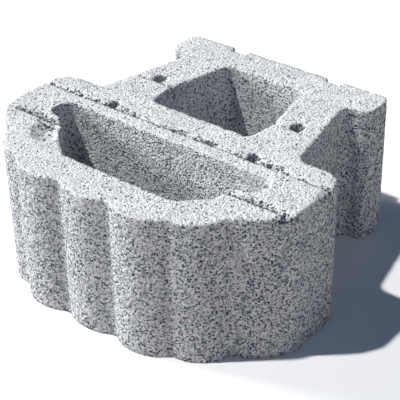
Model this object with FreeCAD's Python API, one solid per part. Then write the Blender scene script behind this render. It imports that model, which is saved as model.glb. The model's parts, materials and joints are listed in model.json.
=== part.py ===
"""Retaining wall block: one piece of dry-cast concrete, in millimetres.

The block stands on its bed face with +Z up. The origin is on the bed plane, at the
middle of the overall width (X) and depth (Y). The show face, seven upright lobes that
curve round both front corners, looks along -Y.
"""
import FreeCAD, Part
import math
import os

Vector = FreeCAD.Vector

# Overall size
WIDTH = 470.0
DEPTH = 430.0
HEIGHT = 200.0

# Show face. Each valley is given by its distance from the centre line and its
# setback behind the front of the block. The lobe after it bulges by its rise.
FIRST_VALLEY = (40.0, 12.5)
SECOND_VALLEY = (124.0, 23.5)
THIRD_VALLEY = (177.0, 67.0)
FACE_RETURN = 123.0
CENTRE_RISE = 11.5
INNER_RISE = 17.0
OUTER_RISE = 13.5
END_RISE = 8.5
VALLEY_RADIUS = 10.0
RETURN_RADIUS = 14.0

# Wings, the two ears at the ends of the face
WING_DEPTH = 223.0
WING_RADIUS = 28.0
NECK_RADIUS = 14.0

# Neck and rear flange, as insets from the sides of the block
NECK_INSET_FRONT = 70.5
NECK_INSET_REAR = 104.0
FLANGE_INSET = 66.0
FLANGE_THICKNESS = 54.0
FLANGE_RADIUS = 14.0

# Key notches in the rear edge
NOTCH_SPACING = 161.0
NOTCH_WIDTH = 25.0
NOTCH_FLOOR_WIDTH = 19.5
NOTCH_DEPTH = 9.5

# Planting pocket behind the face, open from top to bottom
FACE_WALL = 57.5
POCKET_SIDE_WALL = 61.5
POCKET_DEPTH = 109.0
SLOT_WIDTH = 40.0
SLOT_RADIUS = 18.5
SHOULDER_STEP = 29.0
SHOULDER_RADIUS = 8.0
FLANK_STEP = 8.0
FLANK_DEPTH = 37.0
FLANK_RADIUS = 18.0
NOSE_STEP = 33.0
NOSE_RADIUS = 18.0

# Rear core, open from top to bottom
CORE_OFFSET = 9.5
CORE_SIDE_WALL = 66.0
CORE_FRONT_STEP = 3.5
CORE_WIDEST = 46.5
CORE_WIDEST_RADIUS = 8.0
CORE_REAR_WALL = 51.0
CORE_RADIUS = 15.0

# Pin holes, open at the top, one pair in the web and one pair in the neck walls
PIN_INSET = 119.0
FRONT_PIN_DIAMETER = 16.0
FRONT_PIN_OFFSET = -26.5
REAR_PIN_DIAMETER = 20.0
REAR_PIN_OFFSET = 68.5
PIN_DEPTH = 80.0

# Score lines across the top, as offsets from the rear faces of the wings
POCKET_SCORE = -103.0
WEB_SCORE = -33.0
NECK_SCORE = 60.0
SCORE_WIDTH = 6.0
SCORE_DEPTH = 3.0

# Places that follow from the sizes above
FRONT = -DEPTH / 2
BACK = DEPTH / 2
SIDE = WIDTH / 2
WING_REAR = FRONT + WING_DEPTH
FLANGE_FRONT = BACK - FLANGE_THICKNESS
CORE_FRONT = WING_REAR + CORE_OFFSET
CORE_BACK = BACK - CORE_REAR_WALL
POCKET_FRONT = FRONT + FACE_WALL
POCKET_BACK = POCKET_FRONT + POCKET_DEPTH
PIN_X = SIDE - PIN_INSET
OVERSHOOT = 1.0


def neck_half_width(y):
    """Half the width of the tapering neck at a given y."""
    share = (y - WING_REAR) / (FLANGE_FRONT - WING_REAR)
    return SIDE - NECK_INSET_FRONT - share * (NECK_INSET_REAR - NECK_INSET_FRONT)


def mirrored(corners):
    """A closed list of (x, y, radius) corners from the ones on its +X side."""
    return corners + [(-x, y, radius) for x, y, radius in reversed(corners)]


def bulge(start, end, rise):
    """An arc from start to end that rises off its chord, to the right of its run."""
    chord = end - start
    outward = Vector(chord.y, -chord.x, 0).normalize()
    return Part.Arc(start, (start + end) / 2 + outward * rise, end).toShape()


def prism(edges, low, high):
    """A solid with the given closed outline, between two levels."""
    face = Part.Face(Part.Wire(edges))
    face.translate(Vector(0, 0, low))
    return face.extrude(Vector(0, 0, high - low))


def polygon_edges(points):
    """The straight edges of a closed outline."""
    following = points[1:] + points[:1]
    return [Part.LineSegment(a, b).toShape() for a, b in zip(points, following)]


def round_corners(solid, corners):
    """Round each upright edge that stands on an (x, y, radius) corner."""
    for x, y, radius in corners:
        if radius > 0:
            solid = solid.makeFillet(radius, [upright_edge(solid, x, y)])
    return solid


def upright_edge(solid, x, y):
    """The straight upright edge of a solid that is nearest to x, y."""
    def distance(edge):
        ends = [vertex.Point for vertex in edge.Vertexes]
        if len(ends) != 2 or math.hypot(ends[0].x - ends[1].x, ends[0].y - ends[1].y) > 0.001:
            return math.inf
        return math.hypot(ends[0].x - x, ends[0].y - y)
    return min(solid.Edges, key=distance)


def rounded_prism(corners, low, high):
    """A prism from (x, y, radius) corners joined by straight sides."""
    points = [Vector(x, y, 0) for x, y, _ in corners]
    return round_corners(prism(polygon_edges(points), low, high), corners)


def make_body():
    """The outside of the block: lobed face, wings, neck and rear flange."""
    valleys = [FIRST_VALLEY, SECOND_VALLEY, THIRD_VALLEY, (SIDE, FACE_RETURN)]
    right = [Vector(x, FRONT + setback, 0) for x, setback in valleys]
    left = [Vector(-point.x, point.y, 0) for point in right]
    rises = [INNER_RISE, OUTER_RISE, END_RISE]

    centre_peak = Vector(0, FRONT, 0)
    edges = [Part.Arc(left[0], centre_peak, right[0]).toShape()]
    for near, far, rise in zip(range(3), range(1, 4), rises):
        edges.append(bulge(right[near], right[far], rise))
        edges.append(bulge(left[far], left[near], rise))

    neck_front = SIDE - NECK_INSET_FRONT
    neck_rear = SIDE - NECK_INSET_REAR
    flange = SIDE - FLANGE_INSET
    rear = [
        (SIDE, FRONT + FACE_RETURN, RETURN_RADIUS),
        (SIDE, WING_REAR, WING_RADIUS),
        (neck_front, WING_REAR, NECK_RADIUS),
        (neck_rear, FLANGE_FRONT, NECK_RADIUS),
        (flange, FLANGE_FRONT, FLANGE_RADIUS),
        (flange, BACK, FLANGE_RADIUS),
    ]
    outline = [Vector(x, y, 0) for x, y, _ in mirrored(rear)]
    edges += [Part.LineSegment(a, b).toShape() for a, b in zip(outline, outline[1:])]

    body = prism(Part.__sortEdges__(edges), 0, HEIGHT)
    valley_corners = [(x, FRONT + setback, VALLEY_RADIUS) for x, setback in valleys[:3]]
    return round_corners(body, mirrored(valley_corners + rear))


def make_notches():
    """The two key notches in the rear edge."""
    middle = NOTCH_SPACING / 2
    flare = (NOTCH_WIDTH - NOTCH_FLOOR_WIDTH) / 2 / NOTCH_DEPTH
    mouth = NOTCH_WIDTH / 2 + flare * OVERSHOOT
    floor = NOTCH_FLOOR_WIDTH / 2
    notches = []
    for centre in (-middle, middle):
        points = [
            Vector(centre - mouth, BACK + OVERSHOOT, 0),
            Vector(centre - floor, BACK - NOTCH_DEPTH, 0),
            Vector(centre + floor, BACK - NOTCH_DEPTH, 0),
            Vector(centre + mouth, BACK + OVERSHOOT, 0),
        ]
        notches.append(prism(polygon_edges(points), -OVERSHOOT, HEIGHT + OVERSHOOT))
    return notches


def make_pocket():
    """The planting pocket: a cross slot with a funnel towards the face."""
    slot_end = SIDE - POCKET_SIDE_WALL
    slot_front = POCKET_BACK - SLOT_WIDTH
    shoulder = slot_end - SHOULDER_STEP
    flank = shoulder - FLANK_STEP
    corners = [
        (flank - NOSE_STEP, POCKET_FRONT, NOSE_RADIUS),
        (flank, slot_front - FLANK_DEPTH, FLANK_RADIUS),
        (shoulder, slot_front, SHOULDER_RADIUS),
        (slot_end, slot_front, SLOT_RADIUS),
        (slot_end, POCKET_BACK, SLOT_RADIUS),
    ]
    return rounded_prism(mirrored(corners), -OVERSHOOT, HEIGHT + OVERSHOOT)


def make_core():
    """The rear core, whose walls run parallel to the neck behind its widest place."""
    widest_y = CORE_FRONT + CORE_WIDEST
    widest = neck_half_width(widest_y) - CORE_SIDE_WALL
    corners = [
        (widest - CORE_FRONT_STEP, CORE_FRONT, CORE_RADIUS),
        (widest, widest_y, CORE_WIDEST_RADIUS),
        (neck_half_width(CORE_BACK) - CORE_SIDE_WALL, CORE_BACK, CORE_RADIUS),
    ]
    return rounded_prism(mirrored(corners), -OVERSHOOT, HEIGHT + OVERSHOOT)


def make_pin_holes():
    """The four blind holes for alignment pins."""
    rows = [
        (WING_REAR + FRONT_PIN_OFFSET, FRONT_PIN_DIAMETER),
        (WING_REAR + REAR_PIN_OFFSET, REAR_PIN_DIAMETER),
    ]
    holes = []
    for y, diameter in rows:
        for x in (-PIN_X, PIN_X):
            foot = Vector(x, y, HEIGHT - PIN_DEPTH)
            holes.append(Part.makeCylinder(diameter / 2, PIN_DEPTH + OVERSHOOT, foot))
    return holes


def make_score_lines():
    """The three V grooves that are pressed across the top."""
    flare = SCORE_WIDTH / 2 * (1 + OVERSHOOT / SCORE_DEPTH)
    lines = []
    for offset in (POCKET_SCORE, WEB_SCORE, NECK_SCORE):
        y = WING_REAR + offset
        points = [
            Vector(-SIDE - OVERSHOOT, y - flare, HEIGHT + OVERSHOOT),
            Vector(-SIDE - OVERSHOOT, y, HEIGHT - SCORE_DEPTH),
            Vector(-SIDE - OVERSHOOT, y + flare, HEIGHT + OVERSHOOT),
        ]
        face = Part.Face(Part.Wire(polygon_edges(points)))
        lines.append(face.extrude(Vector(WIDTH + 2 * OVERSHOOT, 0, 0)))
    return lines


def make_block():
    """The whole block, as one solid."""
    cuts = make_notches() + make_pin_holes() + make_score_lines()
    cuts += [make_pocket(), make_core()]
    return make_body().cut(cuts).removeSplitter()


block = make_block()
os.makedirs("parts", exist_ok=True)
block.exportStep("parts/wall_block.step")
box = block.optimalBoundingBox(False, False)
print("wall_block: solids", len(block.Solids), "valid", block.isValid(), "litres", round(block.Volume / 1e6, 3))
print("width", round(box.XLength, 3), "depth", round(box.YLength, 3), "height", round(box.ZLength, 3))
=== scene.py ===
"""A cast concrete retaining wall block on a plain pale floor.

All lengths are in metres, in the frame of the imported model. The block stands on z = 0,
its lobed face looks along -Y, and the origin is under the middle of its width and depth.
"""
import json
import logging
import math
from dataclasses import dataclass
from enum import Enum
from typing import Any

import bmesh
import bpy
import numpy as np
from mathutils import Matrix, Vector, noise
from mathutils.bvhtree import BVHTree
from mathutils.kdtree import KDTree

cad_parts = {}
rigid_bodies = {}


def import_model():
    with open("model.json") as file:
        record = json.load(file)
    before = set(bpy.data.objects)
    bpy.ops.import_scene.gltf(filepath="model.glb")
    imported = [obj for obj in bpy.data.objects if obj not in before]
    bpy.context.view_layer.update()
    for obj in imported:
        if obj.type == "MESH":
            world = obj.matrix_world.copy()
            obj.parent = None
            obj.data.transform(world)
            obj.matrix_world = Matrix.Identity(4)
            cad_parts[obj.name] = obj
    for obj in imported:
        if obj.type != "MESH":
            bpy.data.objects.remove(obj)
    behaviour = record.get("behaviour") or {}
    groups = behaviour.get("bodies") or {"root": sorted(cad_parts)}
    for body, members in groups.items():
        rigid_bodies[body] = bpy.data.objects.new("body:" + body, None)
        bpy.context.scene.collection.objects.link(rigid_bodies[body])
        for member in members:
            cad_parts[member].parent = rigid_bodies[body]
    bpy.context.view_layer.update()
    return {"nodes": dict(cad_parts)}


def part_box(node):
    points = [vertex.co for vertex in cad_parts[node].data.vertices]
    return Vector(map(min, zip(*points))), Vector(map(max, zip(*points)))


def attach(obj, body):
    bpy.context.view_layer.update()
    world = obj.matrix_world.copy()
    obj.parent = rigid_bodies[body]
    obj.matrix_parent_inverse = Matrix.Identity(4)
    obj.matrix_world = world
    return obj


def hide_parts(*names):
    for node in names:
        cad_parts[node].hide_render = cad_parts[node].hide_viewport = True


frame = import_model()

LOG = logging.getLogger("wall_block")
NODE = "wall_block"
BODY = "root"
MM = 0.001

LOW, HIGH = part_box(NODE)
WING_DEPTH = 223.0 * MM
WING_REAR = LOW[1] + WING_DEPTH

Colour = tuple[float, float, float, float]
Span = tuple[float, float]
WHITE: Colour = (1.0, 1.0, 1.0, 1.0)


class Seed(Enum):
    """Fixed starting points, one for each random field."""

    GRAIN = 3
    SWELL = 11
    PITS = 23
    WEAR = 37
    CHIPS = 41
    SCORE = 53
    DRAG = 67
    CRUMBLE = 71
    GRAINS = 5


# ---------------------------------------------------------------- score lines


@dataclass(frozen=True)
class ScoreBand:
    """A score line in the top: a sharp front edge with a crumbled strip behind it."""

    front: float
    reach: float
    depth: float
    pitting: float
    crack: float


BANDS = (
    ScoreBand(front=WING_REAR - 113.0 * MM, reach=18.0 * MM, depth=1.0 * MM,
              pitting=4.6 * MM, crack=0.8),
    ScoreBand(front=WING_REAR - 36.0 * MM, reach=15.0 * MM, depth=1.0 * MM,
              pitting=3.0 * MM, crack=1.0),
    ScoreBand(front=WING_REAR + 57.0 * MM, reach=8.0 * MM, depth=0.6 * MM,
              pitting=1.6 * MM, crack=0.62),
)


# ---------------------------------------------------------------- shader helpers


class Wire:
    """A shader socket that can be used in Python expressions."""

    def __init__(self, tree: "ShaderTree", socket: bpy.types.NodeSocket) -> None:
        """Keeps the socket and the tree it belongs to."""
        self.tree = tree
        self.socket = socket

    def _math(self, operation: str, *values: Any) -> "Wire":
        """Adds one Math node.

        Args:
            operation: The Math node's operation.
            values: Its inputs, as wires or numbers.

        Returns:
            The node's output.
        """
        return self.tree.node("ShaderNodeMath", {"operation": operation}, dict(enumerate(values)))

    def __add__(self, other: Any) -> "Wire":
        """This plus other."""
        return self._math("ADD", self, other)

    def __sub__(self, other: Any) -> "Wire":
        """This minus other."""
        return self._math("SUBTRACT", self, other)

    def __rsub__(self, other: Any) -> "Wire":
        """Other minus this."""
        return self._math("SUBTRACT", other, self)

    def __mul__(self, other: Any) -> "Wire":
        """This times other."""
        return self._math("MULTIPLY", self, other)

    def larger(self, other: Any) -> "Wire":
        """The larger of this and other."""
        return self._math("MAXIMUM", self, other)

    def step(self, low: float, high: float) -> "Wire":
        """A smooth step from 0 at low to 1 at high.

        Args:
            low: Where the step starts.
            high: Where it ends, which may be below low.

        Returns:
            The step, from 0 to 1.
        """
        rising = high > low
        ends = (low, high) if rising else (high, low)
        values = {"Value": self, "From Min": ends[0], "From Max": ends[1],
                  "To Min": 0.0 if rising else 1.0, "To Max": 1.0 if rising else 0.0}
        return self.tree.node("ShaderNodeMapRange", {"interpolation_type": "SMOOTHSTEP"}, values)


class ShaderTree:
    """The node tree of a material or a world, built one call at a time."""

    def __init__(self, owner: bpy.types.Material | bpy.types.World) -> None:
        """Empties the owner's tree."""
        owner.use_nodes = True
        self.nodes = owner.node_tree.nodes
        self.links = owner.node_tree.links
        self.nodes.clear()
        world = isinstance(owner, bpy.types.World)
        self.output_kind = "ShaderNodeOutputWorld" if world else "ShaderNodeOutputMaterial"

    def node(
        self, kind: str, settings: dict[str, Any], sockets: dict[Any, Any], out: Any = 0
    ) -> Wire:
        """Adds a node.

        Args:
            kind: The node's type.
            settings: Properties that are set before the sockets.
            sockets: Input name or number to a wire or a plain value.
            out: The output's name or number.

        Returns:
            The output as a wire.
        """
        made = self.nodes.new(kind)
        for name, value in settings.items():
            setattr(made, name, value)
        for name, value in sockets.items():
            if isinstance(value, Wire):
                self.links.new(value.socket, made.inputs[name])
            else:
                made.inputs[name].default_value = value
        return Wire(self, made.outputs[out])

    def places(self, stretch: tuple[float, float, float] = (1.0, 1.0, 1.0)) -> Wire:
        """Object coordinates, each multiplied by its stretch."""
        plain = self.node("ShaderNodeTexCoord", {}, {}, "Object")
        return self.node("ShaderNodeMapping", {}, {"Vector": plain, "Scale": stretch})

    def blobs(self, size: float, detail: float, places: Wire | None = None) -> Wire:
        """Noise from 0 to 1 whose blobs are about the given size across."""
        sockets = {"Vector": places or self.places(), "Scale": 1.0 / size, "Detail": detail}
        return self.node("ShaderNodeTexNoise", {"noise_dimensions": "3D"}, sockets)

    def cells(self, size: float, out: str) -> Wire:
        """A Voronoi pattern with cells of the given size."""
        sockets = {"Vector": self.places(), "Scale": 1.0 / size}
        return self.node("ShaderNodeTexVoronoi", {}, sockets, out)

    def dice(self, size: float, channel: int) -> Wire:
        """A chance value from 0 to 1 for each cell of the given size."""
        return self.node("ShaderNodeSeparateColor", {}, {0: self.cells(size, "Color")}, channel)

    def part(self, vector: Wire, axis: int) -> Wire:
        """A vector's part along one axis."""
        return self.node("ShaderNodeSeparateXYZ", {}, {0: vector}, axis)

    def stored(self, name: str) -> Wire:
        """The number that the mesh keeps under a name."""
        return self.node("ShaderNodeAttribute", {"attribute_name": name}, {}, "Fac")

    def blend(self, share: Any, first: Any, second: Any) -> Wire:
        """First and second colour mixed, with share of the second."""
        settings = {"data_type": "RGBA", "blend_type": "MIX"}
        return self.node("ShaderNodeMix", settings, {0: share, 6: first, 7: second}, 2)

    def finish(self, shader: Wire) -> None:
        """Joins a shader to the tree's output."""
        output = self.nodes.new(self.output_kind)
        self.links.new(shader.socket, output.inputs["Surface"])


@dataclass(frozen=True)
class Layer:
    """Something laid over the paste: where its pattern fades in, and how much of it shows."""

    start: float
    full: float
    share: float

    def cover(self, pattern: Wire, *limits: Wire) -> Wire:
        """How much of the layer shows.

        Args:
            pattern: The pattern that the layer follows.
            limits: What else holds the layer back, each from 0 to 1.

        Returns:
            The cover, from 0 to the layer's share.
        """
        shown = pattern.step(self.start, self.full)
        for limit in limits:
            shown = shown * limit
        return shown * self.share


@dataclass(frozen=True)
class ConcreteFinish:
    """Open-textured dry-cast concrete: pale paste with dark and light grains.

    The trowelled top is paler and its grains show less than they do on the walls, where the extra
    speckle is partly real grain and partly painted shade of the rough texture.
    """

    paste: Colour = (0.87, 0.87, 0.865, 1.0)
    wall_paste: Colour = (0.80, 0.815, 0.835, 1.0)
    # Painted light: a paler paste on the pocket and core walls stands in for the light thrown round
    # inside them.
    inner_painted_light: Colour = (0.92, 0.935, 0.95, 1.0)
    grey_paste: Colour = (0.60, 0.62, 0.645, 1.0)
    sand_grey: Colour = (0.175, 0.20, 0.235, 1.0)
    dark_grain: Colour = (0.035, 0.052, 0.085, 1.0)
    mid_grain: Colour = (0.22, 0.245, 0.285, 1.0)
    light_grain: Colour = (0.92, 0.92, 0.91, 1.0)
    skin: Colour = (0.66, 0.685, 0.72, 1.0)
    hollow_shade: Colour = (0.045, 0.06, 0.085, 1.0)
    roughness: float = 0.93
    specular: float = 0.25

    # How large the patterns are; a blob is so many times its grain.
    grain: float = 2.6 * MM
    grain_blob: float = 1.7
    sand: float = 1.9 * MM
    sand_blob: float = 1.4
    pit: float = 4.6 * MM
    mottle: float = 42.0 * MM

    # How much of each pattern shows, and where.
    mottle_layer: Layer = Layer(0.40, 0.78, 0.5)
    sand_layer: Layer = Layer(0.55, 0.95, 0.75)
    cloud_layer: Layer = Layer(0.48, 0.70, 0.8)
    mid_layer: Layer = Layer(0.72, 0.78, 0.7)
    light_layer: Layer = Layer(0.84, 0.87, 0.9)
    hollow_layer: Layer = Layer(0.10, 0.80, 0.92)
    wall_slope: Span = (0.85, 0.35)
    grain_rim: Span = (0.66, 0.38)
    dark_chance: Span = (0.09, 0.07)
    # More speckle and dark grain show on the walls than on the top: partly real grain, partly
    # painted shade of the rough wall texture.
    wall_dark_and_shade: float = 0.14
    top_speckle: float = 0.46
    wall_speckle_and_shade: float = 0.64
    skin_hides: float = 0.35
    skin_hides_dark: float = 0.4
    # Fewer grains show on the pocket and core walls, as part of the painted light there.
    painted_light_hides: float = 0.36
    skin_share: float = 0.6
    open_share: float = 0.92

    # Round pits in the crumbled places.
    pit_rim: Span = (0.56, 0.42)
    pit_chance: Span = (-0.04, 0.04)
    pit_crowding: float = 0.9

    # Bump: how far out the grains stand and how deep the rest lies, as shares of the bump.
    bump: float = 1.9 * MM
    cloud_dip: Layer = Layer(0.40, 0.68, 0.5)
    grain_rise: float = 0.7
    sand_dip: float = 0.3
    dark_dip: float = 0.5
    open_dip: float = 1.2
    skin_flattens: float = 0.6

    # The closed skin.
    skin_foot: float = 128.0 * MM
    skin_head: float = 188.0 * MM
    skin_edge: Span = (0.57, 0.80)
    skin_height: float = 0.08
    streak: float = 9.0 * MM
    streak_squash: float = 0.10
    streak_share: float = 0.45
    broad: float = 55.0 * MM
    broad_share: float = 0.55

    # The cracks along the score lines.
    crack: float = 2.5 * MM
    crack_rim: float = 0.6 * MM
    crack_front: Span = (-0.4 * MM, 0.5 * MM)
    crack_inset: float = 1.5 * MM
    crack_depths: Span = (8.0 * MM, 5.0 * MM)
    wander: float = 3.0 * MM
    wander_size: float = 12.0 * MM
    closed_size: float = 17.0 * MM
    closed_span: Span = (0.82, 0.62)

    def build(self, name: str) -> bpy.types.Material:
        """Makes the material.

        Args:
            name: The material's name.

        Returns:
            The material.
        """
        material = bpy.data.materials.new(name)
        tree = ShaderTree(material)
        normal = tree.node("ShaderNodeNewGeometry", {}, {}, "Normal")
        wall = tree.part(normal, 2).step(*self.wall_slope)
        skin = self.cast_skin(tree) * wall
        inner = tree.stored("inner") * wall
        hollow = tree.stored("hollow")

        mottle = tree.blobs(self.mottle, 3.0)
        cloud = tree.blobs(self.sand * self.sand_blob, 1.0)
        sand = tree.dice(self.sand, 1)
        grains = tree.blobs(self.grain * self.grain_blob, 1.0)
        tone = tree.dice(self.grain, 0)
        middle = tree.cells(self.grain, "Distance").step(*self.grain_rim)
        # More speckle and dark grain on the walls: partly real grain, partly painted shade.
        show = (wall * self.wall_speckle_and_shade + self.top_speckle) * (1.0 - skin * self.skin_hides)
        # Painted light: fewer grains on the pocket and core walls.
        show = show * (1.0 - inner * self.painted_light_hides)
        dark = (tone - wall * self.wall_dark_and_shade).step(*self.dark_chance)
        dark = dark * middle * (1.0 - skin * self.skin_hides_dark)
        opened = self.pits(tree).larger(self.cracks(tree))

        colour = tree.blend(wall, self.paste, self.wall_paste)
        # Painted light: the pocket and core walls are made paler.
        colour = tree.blend(inner, colour, self.inner_painted_light)
        colour = tree.blend(self.mottle_layer.cover(mottle), colour, self.grey_paste)
        colour = tree.blend(skin * self.skin_share, colour, self.skin)
        colour = tree.blend(self.sand_layer.cover(sand, show), colour, self.sand_grey)
        colour = tree.blend(self.cloud_layer.cover(cloud, show), colour, self.sand_grey)
        colour = tree.blend(self.mid_layer.cover(tone, middle, show), colour, self.mid_grain)
        colour = tree.blend(dark, colour, self.dark_grain)
        colour = tree.blend(self.light_layer.cover(tone, middle), colour, self.light_grain)
        colour = tree.blend(opened * self.open_share, colour, self.hollow_shade)
        colour = tree.blend(self.hollow_layer.cover(hollow), colour, self.hollow_shade)

        height = grains * self.grain_rise - self.cloud_dip.cover(cloud) - sand * self.sand_dip
        height = height * (1.0 - skin * self.skin_flattens)
        height = height - dark * self.dark_dip - opened * self.open_dip
        sockets = {"Strength": 1.0, "Distance": self.bump, "Height": height}
        bump = tree.node("ShaderNodeBump", {}, sockets)
        sockets = {"Base Color": colour, "Normal": bump, "Roughness": self.roughness,
                   "Specular IOR Level": self.specular}
        tree.finish(tree.node("ShaderNodeBsdfPrincipled", {}, sockets))
        return material

    def cast_skin(self, tree: ShaderTree) -> Wire:
        """Where a closed, streaky skin covers the walls, mostly under their top edges.

        Args:
            tree: The material's tree.

        Returns:
            The share of skin, from 0 to 1.
        """
        high = tree.part(tree.places(), 2).step(self.skin_foot, self.skin_head)
        streaks = tree.blobs(self.streak, 2.0, tree.places((1.0, 1.0, self.streak_squash)))
        broad = tree.blobs(self.broad, 1.0)
        mixed = high * self.skin_height + streaks * self.streak_share + broad * self.broad_share
        return mixed.step(*self.skin_edge)

    def pits(self, tree: ShaderTree) -> Wire:
        """Where round pits lie, the more of them the more the place has crumbled.

        Args:
            tree: The material's tree.

        Returns:
            The share of pit, from 0 to 1.
        """
        crowded = tree.stored("crumbs") * self.pit_crowding - tree.dice(self.pit, 0)
        round_pits = tree.cells(self.pit, "Distance").step(*self.pit_rim)
        return round_pits * crowded.step(*self.pit_chance)

    def cracks(self, tree: ShaderTree) -> Wire:
        """Where a thin open crack runs along the front edge of each score line.

        Args:
            tree: The material's tree.

        Returns:
            The share of crack, from 0 to 1.
        """
        along = tree.part(tree.places(), 1)
        level = tree.part(tree.places(), 2)
        wander = tree.blobs(self.wander_size, 3.0) * self.wander
        closed = tree.blobs(self.closed_size, 2.0)
        shut, free = self.closed_span
        cracks = level * 0.0
        for band in BANDS:
            behind = along + wander - (band.front + self.crack_inset)
            back = behind.step(self.crack + self.crack_rim, self.crack - self.crack_rim)
            line = behind.step(*self.crack_front) * back
            cracks = cracks.larger(line * closed.step(shut * band.crack, free * band.crack))
        deepest, shallowest = self.crack_depths
        return cracks * level.step(HIGH[2] - deepest, HIGH[2] - shallowest)


@dataclass(frozen=True)
class FloorFinish:
    """A plain matt floor, pale where it is seen and greyer in the light it throws back."""

    seen: Colour = (0.97, 0.97, 0.97, 1.0)
    thrown: Colour = (0.60, 0.56, 0.545, 1.0)
    roughness: float = 0.95

    def build(self, name: str) -> bpy.types.Material:
        """Makes the material.

        Args:
            name: The material's name.

        Returns:
            The material.
        """
        material = bpy.data.materials.new(name)
        tree = ShaderTree(material)
        colour = tree.blend(seen_directly(tree), self.thrown, self.seen)
        sockets = {"Base Color": colour, "Roughness": self.roughness}
        tree.finish(tree.node("ShaderNodeBsdfPrincipled", {}, sockets))
        return material


def seen_directly(tree: ShaderTree) -> Wire:
    """1 on camera, mirror and glass rays, and 0 on the rays that light the object."""
    rays = ("Is Camera Ray", "Is Glossy Ray", "Is Transmission Ray")
    camera, glossy, through = (tree.node("ShaderNodeLightPath", {}, {}, ray) for ray in rays)
    return camera.larger(glossy).larger(through)


# ---------------------------------------------------------------- mesh helpers


# How far apart the fields of two neighbouring seeds lie, in blobs.
SEED_STEP = np.array([7.31, 3.17, 5.73])

def noise_field(points: np.ndarray, size: Any, seed: Seed) -> np.ndarray:
    """Smooth noise at each point.

    Args:
        points: Points, one a row.
        size: The size of a blob, or its sizes along x, y and z.
        seed: Which random field.

    Returns:
        Values from about -1 to 1.
    """
    scaled = points / np.asarray(size) + SEED_STEP * seed.value
    return np.array([noise.noise(row) for row in scaled.tolist()])


def smooth_step(values: np.ndarray, low: float, high: float) -> np.ndarray:
    """A smooth step from 0 at low to 1 at high."""
    share = np.clip((values - low) / (high - low), 0.0, 1.0)
    return share * share * (3.0 - 2.0 * share)


def near_top(points: np.ndarray, depths: Span) -> np.ndarray:
    """A smooth step from 0 at the first depth under the top to 1 at the second."""
    return smooth_step(points[:, 2], HIGH[2] - depths[0], HIGH[2] - depths[1])


def coordinates(mesh: bpy.types.Mesh) -> np.ndarray:
    """A mesh's vertices as an array, one a row."""
    flat = np.empty(len(mesh.vertices) * 3)
    mesh.vertices.foreach_get("co", flat)
    return flat.reshape(-1, 3)


def directions(mesh: bpy.types.Mesh) -> np.ndarray:
    """A mesh's vertex normals as an array, one a row."""
    flat = np.empty(len(mesh.vertices) * 3)
    mesh.vertex_normals.foreach_get("vector", flat)
    return flat.reshape(-1, 3)


def move_to(mesh: bpy.types.Mesh, points: np.ndarray) -> None:
    """Puts a mesh's vertices at the given points."""
    mesh.vertices.foreach_set("co", points.ravel())
    mesh.update()


def store(mesh: bpy.types.Mesh, name: str, values: np.ndarray) -> None:
    """Keeps one number a vertex on a mesh, under a name."""
    data = mesh.attributes.new(name, "FLOAT", "POINT").data
    data.foreach_set("value", values.astype(np.float32))


def neighbours_mean(points: np.ndarray, edges: np.ndarray) -> np.ndarray:
    """The mean of each vertex's neighbours."""
    count = len(points)
    starts, ends = edges[:, 0], edges[:, 1]
    both = np.concatenate([starts, ends])
    other = np.concatenate([ends, starts])
    degree = np.maximum(np.bincount(both, minlength=count), 1)
    sums = [
        np.bincount(both, weights=points[other, axis], minlength=count)
        for axis in range(points.shape[1])
    ]
    return np.stack(sums, axis=1) / degree[:, None]


def smoothed(points: np.ndarray, edges: np.ndarray, rounds: int) -> np.ndarray:
    """Points after a number of rounds of moving halfway to their neighbours' mean."""
    for _ in range(rounds):
        points = (points + neighbours_mean(points, edges)) / 2.0
    return points


def new_object(name: str, mesh: bpy.types.Mesh) -> bpy.types.Object:
    """A new object in the scene."""
    made = bpy.data.objects.new(name, mesh)
    bpy.context.scene.collection.objects.link(made)
    return made


def applied(piece: bpy.types.Object) -> bpy.types.Mesh:
    """A plain mesh of a piece with its modifiers applied, which are then removed."""
    graph = bpy.context.evaluated_depsgraph_get()
    mesh = bpy.data.meshes.new_from_object(piece.evaluated_get(graph))
    piece.modifiers.clear()
    return mesh


# ---------------------------------------------------------------- the block


@dataclass(frozen=True)
class Patch:
    """A worn or crumbled ellipse on the top."""

    centre: tuple[float, float]
    radii: tuple[float, float]
    turn: float
    depth: float
    pitting: float

    def share(self, points: np.ndarray) -> np.ndarray:
        """How far inside the patch each point lies, from 0 at its edge to 1."""
        x, y = points[:, 0] - self.centre[0], points[:, 1] - self.centre[1]
        cos, sin = math.cos(self.turn), math.sin(self.turn)
        along, across = (x * cos + y * sin) / self.radii[0], (y * cos - x * sin) / self.radii[1]
        return np.clip(1.0 - np.hypot(along, across), 0.0, 1.0)


PATCHES = (
    Patch(centre=(-135 * MM, -131 * MM), radii=(30 * MM, 20 * MM), turn=math.radians(-38),
          depth=6.5 * MM, pitting=0.3 * MM),
    Patch(centre=(-160 * MM, -103 * MM), radii=(42 * MM, 11 * MM), turn=math.radians(-18),
          depth=1.6 * MM, pitting=6.0 * MM),
    Patch(centre=(-147 * MM, -113 * MM), radii=(28 * MM, 15 * MM), turn=math.radians(-25),
          depth=2.0 * MM, pitting=6.5 * MM),
    Patch(centre=(228 * MM, -106 * MM), radii=(15 * MM, 9 * MM), turn=math.radians(60),
          depth=3.5 * MM, pitting=4.0 * MM),
    Patch(centre=(236 * MM, -38 * MM), radii=(7 * MM, 16 * MM), turn=0.0,
          depth=2.5 * MM, pitting=2.0 * MM),
)


@dataclass(frozen=True)
class Room:
    """An oblong seen from above, centred on x = 0, with only inner walls in it."""

    half_width: float
    front: float
    back: float

    def holds(self, points: np.ndarray) -> np.ndarray:
        """Which points lie in the oblong."""
        along = (points[:, 1] > self.front) & (points[:, 1] < self.back)
        return along & (np.abs(points[:, 0]) < self.half_width)


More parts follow.
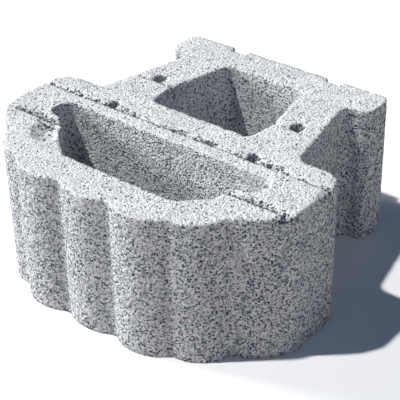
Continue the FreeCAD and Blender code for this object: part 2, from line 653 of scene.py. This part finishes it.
# The pocket and core, whose walls get painted light in the finish.
PAINTED_LIGHT_ROOMS = (
    Room(half_width=128.0 * MM, front=-160.0 * MM, back=-130.0 * MM),
    Room(half_width=176.0 * MM, front=-140.0 * MM, back=-46.0 * MM),
    Room(half_width=104.0 * MM, front=15.0 * MM, back=167.0 * MM),
)


@dataclass(frozen=True)
class ProudFlank:
    """The left flank of the planting pocket, where the concrete stands proud."""

    start: Span = (-134.0 * MM, -124.0 * MM)
    end: Span = (-108.0 * MM, -152.0 * MM)
    fade: Span = (-38.0 * MM, -4.0 * MM)
    rim: Span = (-287.0 * MM, -263.0 * MM)
    foot: float = 0.55
    rise: float = 0.45
    push: float = 16.5 * MM
    way: tuple[float, float, float] = (0.72, 0.69, 0.0)

    def thicken(self, points: np.ndarray) -> np.ndarray:
        """Pushes the flank's points into the pocket, the most at the top.

        Args:
            points: The vertices.

        Returns:
            The vertices with the flank thickened.
        """
        start, end = np.array(self.start), np.array(self.end)
        run = end - start
        along = np.clip((points[:, :2] - start) @ run / (run @ run), 0.0, 1.0)
        away = np.linalg.norm(points[:, :2] - start - along[:, None] * run, axis=1)
        share = smooth_step(-away, *self.fade)
        inside = smooth_step(points[:, 0] + points[:, 1], *self.rim)
        height = self.foot + self.rise * points[:, 2] / HIGH[2]
        push = self.push * share * inside * height
        return points + push[:, None] * np.array(self.way)


@dataclass
class ConcreteBlock:
    """The one cast piece, with worn edges, pits and crumbled score lines."""

    # The even mesh; the shares are of a voxel.
    weld: float = 0.002 * MM
    voxel: float = 2.95 * MM
    line_points: float = 6.0
    line_share: float = 0.72
    bed_height: float = 0.4
    bed_share: float = 0.12
    crease: float = math.radians(28.0)
    floor_gap: float = 0.05 * MM

    # Worn and chipped edges.
    edge_rounds: int = 1
    wear_rounds: int = 7
    ease_size: float = 13.0 * MM
    ease_mean: float = 0.45
    ease_swing: float = 0.6
    ease_least: float = 0.1
    chip_size: float = 15.0 * MM
    chip_span: Span = (0.30, 0.75)
    nick_size: float = 6.5 * MM
    nick_share: float = 0.7

    # The open texture.
    grain_size: float = 4.6 * MM
    grain_height: float = 0.40 * MM
    swell_size: float = 24.0 * MM
    swell_height: float = 0.3 * MM
    drag_size: tuple[float, float, float] = (7.0 * MM, 7.0 * MM, 90.0 * MM)
    drag_height: float = 0.3 * MM
    pit_size: float = 6.5 * MM
    pit_depth: float = 1.5 * MM
    pit_span: Span = (0.50, 0.80)
    pit_shade: float = 0.5

    # How far down from the top the crumbling sinks the surface and how far it shades it.
    sink_depths: Span = (16.0 * MM, 3.2 * MM)
    shade_depths: Span = (6.0 * MM, 3.5 * MM)
    open_shade: float = 0.6

    # Crumbled score lines and patches. A full pit is as deep as makes it wholly dark.
    rough_size: float = 5.2 * MM
    broad_size: float = 26.0 * MM
    reach_mean: float = 0.75
    reach_swing: float = 0.5
    reach_least: float = 2.0 * MM
    band_front: Span = (-0.12, 0.02)
    band_back: Span = (0.35, 1.0)
    band_pits: Span = (0.02, 0.40)
    band_clumping: float = 0.35
    band_full_pit: float = 3.2 * MM
    crumbs_mean: float = 0.75
    patch_rim: Span = (0.12, 0.62)
    patch_pits: Span = (0.05, 0.45)
    patch_broad: float = 0.25
    patch_rough: float = 0.12
    patch_full_pit: float = 3.6 * MM
    patch_full_crumbs: float = 3.0 * MM

    def even_mesh(self) -> bpy.types.Mesh:
        """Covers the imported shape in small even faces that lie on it.

        Returns:
            The new mesh.
        """
        shape = bmesh.new()
        shape.from_mesh(frame["nodes"][NODE].data)
        bmesh.ops.remove_doubles(shape, verts=shape.verts, dist=self.weld)
        tree = BVHTree.FromBMesh(shape)
        lines = self.edge_points(shape)
        plain = bpy.data.meshes.new("shape")
        shape.to_mesh(plain)
        shape.free()

        draft = new_object("draft", plain)
        remesh = draft.modifiers.new("even", "REMESH")
        remesh.mode = "VOXEL"
        remesh.voxel_size = self.voxel
        draft.data = applied(draft)
        self.thin_bed(draft)
        mesh = applied(draft)
        bpy.data.objects.remove(draft)
        seated = [self.seat(Vector(row), tree, lines) for row in coordinates(mesh).tolist()]
        move_to(mesh, np.array(seated))
        return mesh

    def edge_points(self, shape: bmesh.types.BMesh) -> KDTree:
        """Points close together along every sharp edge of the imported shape."""
        gap = self.voxel / self.line_points
        places = []
        for edge in shape.edges:
            if len(edge.link_faces) == 2 and edge.calc_face_angle() > self.crease:
                start, end = (corner.co for corner in edge.verts)
                steps = max(1, round((end - start).length / gap))
                places += [start.lerp(end, step / steps) for step in range(steps + 1)]
        tree = KDTree(len(places))
        for number, place in enumerate(places):
            tree.insert(place, number)
        tree.balance()
        return tree

    def seat(self, place: Vector, surface: BVHTree, lines: KDTree) -> Vector:
        """The nearest place on a sharp edge where one is close, or else on the surface."""
        on_line, _, away = lines.find(place)
        near = away < self.voxel * self.line_share
        return on_line if near else surface.find_nearest(place)[0]

    def thin_bed(self, draft: bpy.types.Object) -> None:
        """Gives the hidden flat underside larger faces, to save them for what shows."""
        heights = coordinates(draft.data)[:, 2]
        bed = np.flatnonzero(heights < self.voxel * self.bed_height)
        draft.vertex_groups.new(name="bed").add(bed.tolist(), 1.0, "REPLACE")
        fewer = draft.modifiers.new("fewer", "DECIMATE")
        fewer.vertex_group = "bed"
        fewer.ratio = 1.0 - (1.0 - self.bed_share) * len(bed) / len(heights)

    def build(self, finish: bpy.types.Material) -> bpy.types.Object:
        """Makes the block.

        Args:
            finish: Its material.

        Returns:
            The finished piece.
        """
        mesh = self.even_mesh()
        edges = np.empty(len(mesh.edges) * 2, dtype=np.int64)
        mesh.edges.foreach_get("vertices", edges)
        edges = edges.reshape(-1, 2)
        sharp = coordinates(mesh)

        points = ProudFlank().thicken(self.worn(sharp, edges))
        move_to(mesh, points)
        normals = directions(mesh)
        relief, hollow = self.relief(points, normals)
        drop, opened, crumbs = self.score(points)
        points = points + normals * relief[:, None]
        points[:, 2] -= drop * near_top(sharp, self.sink_depths)
        points[:, 2] = np.maximum(points[:, 2], self.floor_gap)
        move_to(mesh, points)

        shaded = near_top(sharp, self.shade_depths)
        # Marks the pocket and core walls, where the finish paints light.
        inner = np.any([room.holds(sharp) for room in PAINTED_LIGHT_ROOMS], axis=0)
        store(mesh, "hollow", np.clip(hollow + self.open_shade * opened * shaded, 0.0, 1.0))
        store(mesh, "crumbs", np.clip(crumbs * shaded, 0.0, 1.0))
        store(mesh, "inner", inner)
        mesh.name = "block_body"
        mesh.materials.clear()
        mesh.materials.append(finish)
        mesh.shade_smooth()
        piece = new_object("block_body", mesh)
        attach(piece, BODY)
        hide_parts(NODE)
        return piece

    def worn(self, points: np.ndarray, edges: np.ndarray) -> np.ndarray:
        """Rounds the edges a little everywhere and chips them in places.

        Args:
            points: The vertices of the sharp shape.
            edges: The mesh's edges, as pairs of vertices.

        Returns:
            The worn vertices.
        """
        eased = smoothed(points, edges, self.edge_rounds)
        broken = smoothed(eased, edges, self.wear_rounds)
        swing = self.ease_swing * noise_field(points, self.ease_size, Seed.WEAR)
        ease = np.clip(self.ease_mean + swing, self.ease_least, 1.0)
        nicks = self.nick_share * noise_field(points, self.nick_size, Seed.WEAR)
        chips = noise_field(points, self.chip_size, Seed.CHIPS) + nicks
        chipped = smooth_step(chips, *self.chip_span)
        worn = points + (eased - points) * ease[:, None]
        return worn + (broken - worn) * chipped[:, None]

    def relief(self, points: np.ndarray, normals: np.ndarray) -> tuple[np.ndarray, np.ndarray]:
        """The open texture of the concrete.

        Args:
            points: The vertices.
            normals: Their directions.

        Returns:
            The height along the normal, and how deep in a pit each vertex is, from 0 to 1.
        """
        wall = 1.0 - np.abs(normals[:, 2])
        grain = noise_field(points, self.grain_size, Seed.GRAIN) * self.grain_height
        swell = noise_field(points, self.swell_size, Seed.SWELL) * self.swell_height
        drag = noise_field(points, self.drag_size, Seed.DRAG) * wall * self.drag_height
        pits = smooth_step(noise_field(points, self.pit_size, Seed.PITS), *self.pit_span)
        return grain + swell + drag - pits * self.pit_depth, pits * self.pit_shade

    def score(self, points: np.ndarray) -> tuple[np.ndarray, np.ndarray, np.ndarray]:
        """How far the score lines and crumbled patches are sunk into the top.

        Args:
            points: The vertices.

        Returns:
            The drop of each vertex, how open it is, and how crumbled the place round it is.
        """
        rough = noise_field(points, self.rough_size, Seed.SCORE)
        broad = noise_field(points, self.broad_size, Seed.CRUMBLE)
        drop, opened, crumbs = np.zeros((3, len(points)))
        pitted = smooth_step(rough + self.band_clumping * broad, *self.band_pits)
        crumbled = np.clip(self.crumbs_mean + broad, 0.0, 1.0)
        for band in BANDS:
            reach = band.reach * (self.reach_mean + self.reach_swing * broad)
            back = (points[:, 1] - band.front) / np.maximum(reach, self.reach_least)
            inside = smooth_step(back, *self.band_front)
            inside = inside * (1.0 - smooth_step(back, *self.band_back))
            share = min(1.0, band.pitting / self.band_full_pit)
            drop = np.maximum(drop, inside * (band.depth + band.pitting * pitted))
            opened = np.maximum(opened, inside * pitted * share)
            crumbs = np.maximum(crumbs, inside * share * crumbled)

        pitted = smooth_step(rough, *self.patch_pits)
        ragged = self.patch_broad * broad + self.patch_rough * rough
        for patch in PATCHES:
            within = patch.share(points)
            share = smooth_step(within + ragged, *self.patch_rim) * (within > 0.0)
            full_pit = min(1.0, patch.pitting / self.patch_full_pit)
            full_crumbs = min(1.0, patch.pitting / self.patch_full_crumbs)
            drop = np.maximum(drop, share * (patch.depth + patch.pitting * pitted))
            opened = np.maximum(opened, share * pitted * full_pit)
            crumbs = np.maximum(crumbs, share * full_crumbs)
        return drop, opened, crumbs


@dataclass
class SurfaceGrains:
    """Grains of aggregate that stand out of the crumbled score lines."""

    radius: float = 1.2 * MM
    spread: float = 0.45
    density: float = 16000.0

    def tree(self) -> bpy.types.GeometryNodeTree:
        """Builds the node group that scatters the grains.

        Returns:
            The group, with sockets named Radius, Spread, Density, Seed and Finish.
        """
        group = bpy.data.node_groups.new("scatter_grains", "GeometryNodeTree")
        face = group.interface
        face.new_socket("Surface", in_out="INPUT", socket_type="NodeSocketGeometry")
        for name, kind in (("Radius", "Float"), ("Spread", "Float"), ("Density", "Float"),
                           ("Seed", "Int"), ("Finish", "Material")):
            face.new_socket(name, in_out="INPUT", socket_type="NodeSocket" + kind)
        face.new_socket("Grains", in_out="OUTPUT", socket_type="NodeSocketGeometry")

        def add(kind: str, settings: dict[str, Any], sockets: dict[Any, Any]) -> bpy.types.Node:
            """Adds a node with its settings, then its sockets' values or links."""
            made = group.nodes.new(kind)
            for name, value in settings.items():
                setattr(made, name, value)
            for name, value in sockets.items():
                if isinstance(value, bpy.types.NodeSocket):
                    group.links.new(value, made.inputs[name])
                else:
                    made.inputs[name].default_value = value
            return made

        given = group.nodes.new("NodeGroupInput").outputs
        crumbs = add("GeometryNodeInputNamedAttribute", {"data_type": "FLOAT"}, {"Name": "crumbs"})
        thick = add("ShaderNodeMath", {"operation": "MULTIPLY"},
                    {0: crumbs.outputs[0], 1: given["Density"]})
        points = add("GeometryNodeDistributePointsOnFaces", {"distribute_method": "RANDOM"},
                     {"Mesh": given["Surface"], "Density": thick.outputs[0], "Seed": given["Seed"]})
        least = add("ShaderNodeMath", {"operation": "SUBTRACT"}, {0: 1.0, 1: given["Spread"]})
        most = add("ShaderNodeMath", {"operation": "ADD"}, {0: 1.0, 1: given["Spread"]})
        size = add("FunctionNodeRandomValue", {"data_type": "FLOAT_VECTOR"},
                   {0: least.outputs[0], 1: most.outputs[0], "Seed": given["Seed"]})
        turn = add("FunctionNodeRandomValue", {"data_type": "FLOAT_VECTOR"},
                   {1: (math.tau, math.tau, math.tau), "Seed": given["Seed"]})
        grain = add("GeometryNodeMeshIcoSphere", {}, {"Radius": given["Radius"], "Subdivisions": 1})
        placed = add("GeometryNodeInstanceOnPoints", {},
                     {"Points": points.outputs["Points"], "Instance": grain.outputs["Mesh"],
                      "Rotation": turn.outputs[0], "Scale": size.outputs[0]})
        solid = add("GeometryNodeRealizeInstances", {}, {"Geometry": placed.outputs[0]})
        done = add("GeometryNodeSetMaterial", {},
                   {"Geometry": solid.outputs[0], "Material": given["Finish"]})
        group.links.new(done.outputs[0], group.nodes.new("NodeGroupOutput").inputs[0])
        return group

    def build(self, surface: bpy.types.Object, finish: bpy.types.Material) -> bpy.types.Object:
        """Scatters the grains over a surface.

        Args:
            surface: The block, with its crumbs attribute.
            finish: The grains' material.

        Returns:
            All the grains as one piece.
        """
        group = self.tree()
        values = {"Radius": self.radius, "Spread": self.spread, "Density": self.density,
                  "Seed": Seed.GRAINS.value, "Finish": finish}
        piece = new_object("surface_grains", surface.data.copy())
        scatter = piece.modifiers.new("scatter", "NODES")
        scatter.node_group = group
        for socket in group.interface.items_tree:
            if socket.in_out == "INPUT" and socket.name in values:
                scatter[socket.identifier] = values[socket.name]
        mesh = applied(piece)
        mesh.name = "surface_grains"
        piece.data = mesh
        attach(piece, BODY)
        return piece


# ---------------------------------------------------------------- the studio


@dataclass(frozen=True)
class Lamp:
    """A far lamp: the way its light travels, its strength, and how wide it looks in degrees."""

    name: str
    run: tuple[float, float, float]
    power: float
    angle: float
    colour: tuple[float, float, float]

    def build(self) -> None:
        """Adds the lamp to the scene."""
        data = bpy.data.lights.new(self.name, "SUN")
        data.energy = self.power
        data.angle = math.radians(self.angle)
        data.color = self.colour
        lamp = bpy.data.objects.new(self.name, data)
        lamp.rotation_mode = "QUATERNION"
        lamp.rotation_quaternion = Vector(self.run).to_track_quat("-Z", "Y")
        bpy.context.scene.collection.objects.link(lamp)


LAMPS = (
    Lamp("key", run=(0.42, 0.37, -1.0), power=2.85, angle=2.0, colour=(1.0, 0.985, 0.965)),
    Lamp("fill", run=(0.88, 0.24, -0.30), power=3.35, angle=14.0, colour=(1.0, 0.99, 0.98)),
    Lamp("side_fill", run=(-0.92, 0.38, -0.12), power=0.50, angle=40.0, colour=(1.0, 0.94, 0.93)),
)


@dataclass
class Studio:
    """The floor, the lights and the camera."""

    camera_place: tuple[float, float, float] = (0.9104, -1.0782, 0.9698)
    camera_turn: float = 39.76
    camera_fall: float = 32.14
    camera_roll: float = -1.26
    lens: float = 111.85
    sensor: float = 36.0
    floor_half: float = 9.0
    sky_power: float = 0.09
    sky_colour: Colour = (0.10, 0.45, 1.0, 1.0)

    def build_floor(self) -> None:
        """Adds a plain pale floor that the block stands on."""
        shape = bmesh.new()
        bmesh.ops.create_grid(shape, x_segments=1, y_segments=1, size=self.floor_half)
        mesh = bpy.data.meshes.new("floor")
        shape.to_mesh(mesh)
        shape.free()
        mesh.materials.append(FloorFinish().build("floor_matt"))
        floor = new_object("floor", mesh)

    def build_lights(self) -> None:
        """Adds a key from above, low fills from both sides, and an even sky."""
        for lamp in LAMPS:
            lamp.build()
        world = bpy.data.worlds.new("studio")
        tree = ShaderTree(world)
        seen = seen_directly(tree)
        colour = tree.blend(seen, self.sky_colour, WHITE)
        strength = seen * (1.0 - self.sky_power) + self.sky_power
        sky = tree.node("ShaderNodeBackground", {}, {"Color": colour, "Strength": strength})
        tree.finish(sky)
        bpy.context.scene.world = world

    def build_camera(self) -> None:
        """Adds a long lens, above and to the right of the lobed face."""
        data = bpy.data.cameras.new("camera")
        data.lens = self.lens
        data.sensor_width = self.sensor
        camera = bpy.data.objects.new("camera", data)
        turn = Matrix.Rotation(math.radians(self.camera_turn), 4, "Z")
        fall = Matrix.Rotation(math.radians(90.0 - self.camera_fall), 4, "X")
        roll = Matrix.Rotation(math.radians(self.camera_roll), 4, "Z")
        camera.matrix_world = Matrix.Translation(self.camera_place) @ turn @ fall @ roll
        bpy.context.scene.collection.objects.link(camera)
        bpy.context.scene.camera = camera

    def build(self) -> None:
        """Makes all of it, and sets how colours are shown."""
        self.build_floor()
        self.build_lights()
        self.build_camera()
        bpy.context.scene.view_settings.view_transform = "Standard"


def triangles(piece: bpy.types.Object) -> int:
    """How many triangles a piece has."""
    return sum(len(face.vertices) - 2 for face in piece.data.polygons)


def main() -> None:
    """Builds the block, then the studio round it."""
    logging.basicConfig(level=logging.INFO, format="%(message)s")
    concrete = ConcreteFinish().build("dry_cast_concrete")
    block = ConcreteBlock().build(concrete)
    LOG.info("block_body: %d triangles", triangles(block))
    grains = SurfaceGrains().build(block, concrete)
    LOG.info("surface_grains: %d triangles", triangles(grains))
    Studio().build()


if __name__ == "__main__":
    main()
